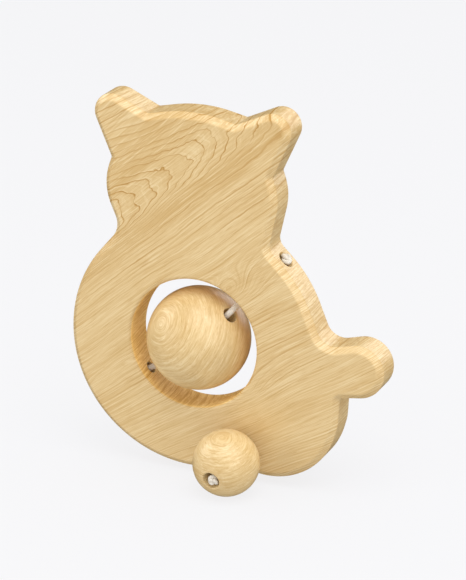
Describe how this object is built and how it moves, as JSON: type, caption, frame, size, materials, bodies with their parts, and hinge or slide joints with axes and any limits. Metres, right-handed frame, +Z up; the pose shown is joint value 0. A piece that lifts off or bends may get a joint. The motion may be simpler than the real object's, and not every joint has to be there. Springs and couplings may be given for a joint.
{
  "type": "baby rattle",
  "caption": "Flat wooden rattle shaped like a sitting bear in profile, with a large ball strung on a cord in its round belly window and small balls strung on both sides as feet.",
  "frame": {"origin": "middle of the footprint, on the surface the foot balls stand on", "axes": "+Z up towards the ears, -Y out of the front of the plate, +X towards the raised arm"},
  "size_m": [0.0792, 0.0444, 0.0915],
  "materials": {
    "bear_wood": "solid pale maple, satin lacquer",
    "ball_wood": "turned pale maple, satin lacquer",
    "cord": "round braided cotton cord, greige white"
  },
  "bodies": {
    "bear": {"bear_body": "bear_wood"},
    "centre_cord": {"centre_cord": "cord"},
    "centre_ball": {"centre_ball": "ball_wood"},
    "foot_cord": {"foot_cord": "cord"},
    "front_foot_ball": {"front_foot_ball": "ball_wood"},
    "rear_foot_ball": {"rear_foot_ball": "ball_wood"}
  },
  "joints": [
    {"name": "centre_cord_slip", "type": "slide", "parent": "bear", "child": "centre_cord", "axis": [0.7443, 0, 0.6678], "range_m": [-0.0003, 0.0003]},
    {"name": "centre_ball_spin", "type": "hinge", "parent": "centre_cord", "child": "centre_ball", "pos_m": [-0.00825, -0.00015, 0.0329], "axis": [0.7303, -0.2241, 0.6453], "continuous": true},
    {"name": "foot_cord_slip", "type": "slide", "parent": "bear", "child": "foot_cord", "axis": [0, -1, 0], "range_m": [-0.0005, 0.0005]},
    {"name": "front_foot_ball_spin", "type": "hinge", "parent": "foot_cord", "child": "front_foot_ball", "pos_m": [0.0046, -0.0137, 0.008], "axis": [-0.112, -0.9628, -0.2459], "continuous": true},
    {"name": "rear_foot_ball_spin", "type": "hinge", "parent": "foot_cord", "child": "rear_foot_ball", "pos_m": [0.0046, 0.0137, 0.008], "axis": [-0.112, 0.9628, -0.2459], "continuous": true}
  ]
}
